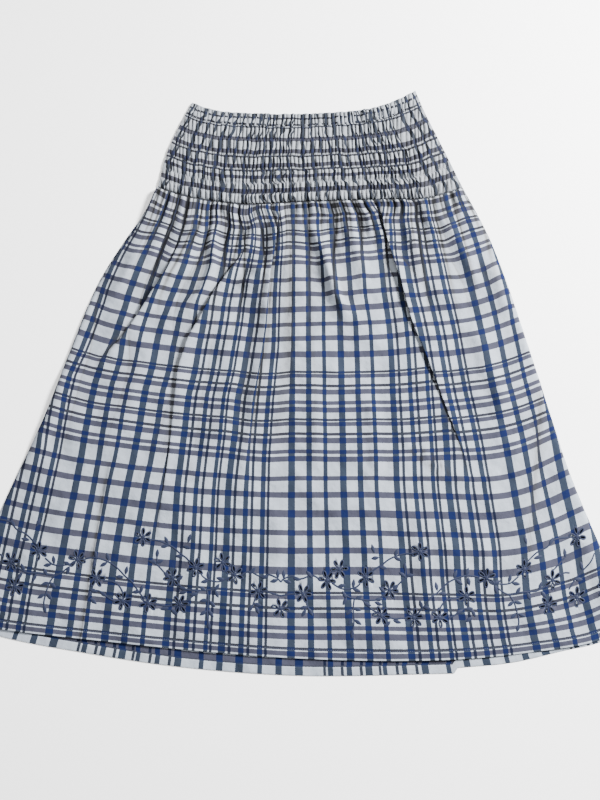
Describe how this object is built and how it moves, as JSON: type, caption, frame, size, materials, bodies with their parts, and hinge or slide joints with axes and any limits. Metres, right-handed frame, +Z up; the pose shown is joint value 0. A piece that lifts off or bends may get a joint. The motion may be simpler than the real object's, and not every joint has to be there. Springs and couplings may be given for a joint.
{
  "type": "midi skirt",
  "caption": "Pull-on plaid cotton midi skirt laid flat: shirred waist yoke, gathered A-line skirt, cut and embroidered flower border above a turned hem.",
  "frame": {"origin": "middle of the garment's box, on the surface that the skirt lies on", "axes": "+Z up from the surface and out of the front's outer face, +Y along the skirt towards the waist, +X to the right of one who looks down on the front"},
  "size_m": [0.884, 0.877, 0.012],
  "materials": {
    "yoke_cotton": "yarn-dyed plaid cotton voile in pale grey and slate blue, shirred with elastic thread",
    "skirt_cotton": "yarn-dyed plaid cotton voile in pale grey and slate blue, matt, softly creased",
    "embroidery_thread": "slate blue viscose embroidery thread, satin stitched, soft sheen",
    "sewing_thread": "fine polyester sewing thread, matt"
  },
  "bodies": {
    "root": {"yoke_front": "yoke_cotton", "yoke_back": "yoke_cotton", "skirt_front": "skirt_cotton", "skirt_back": "skirt_cotton"}
  },
  "joints": []
}
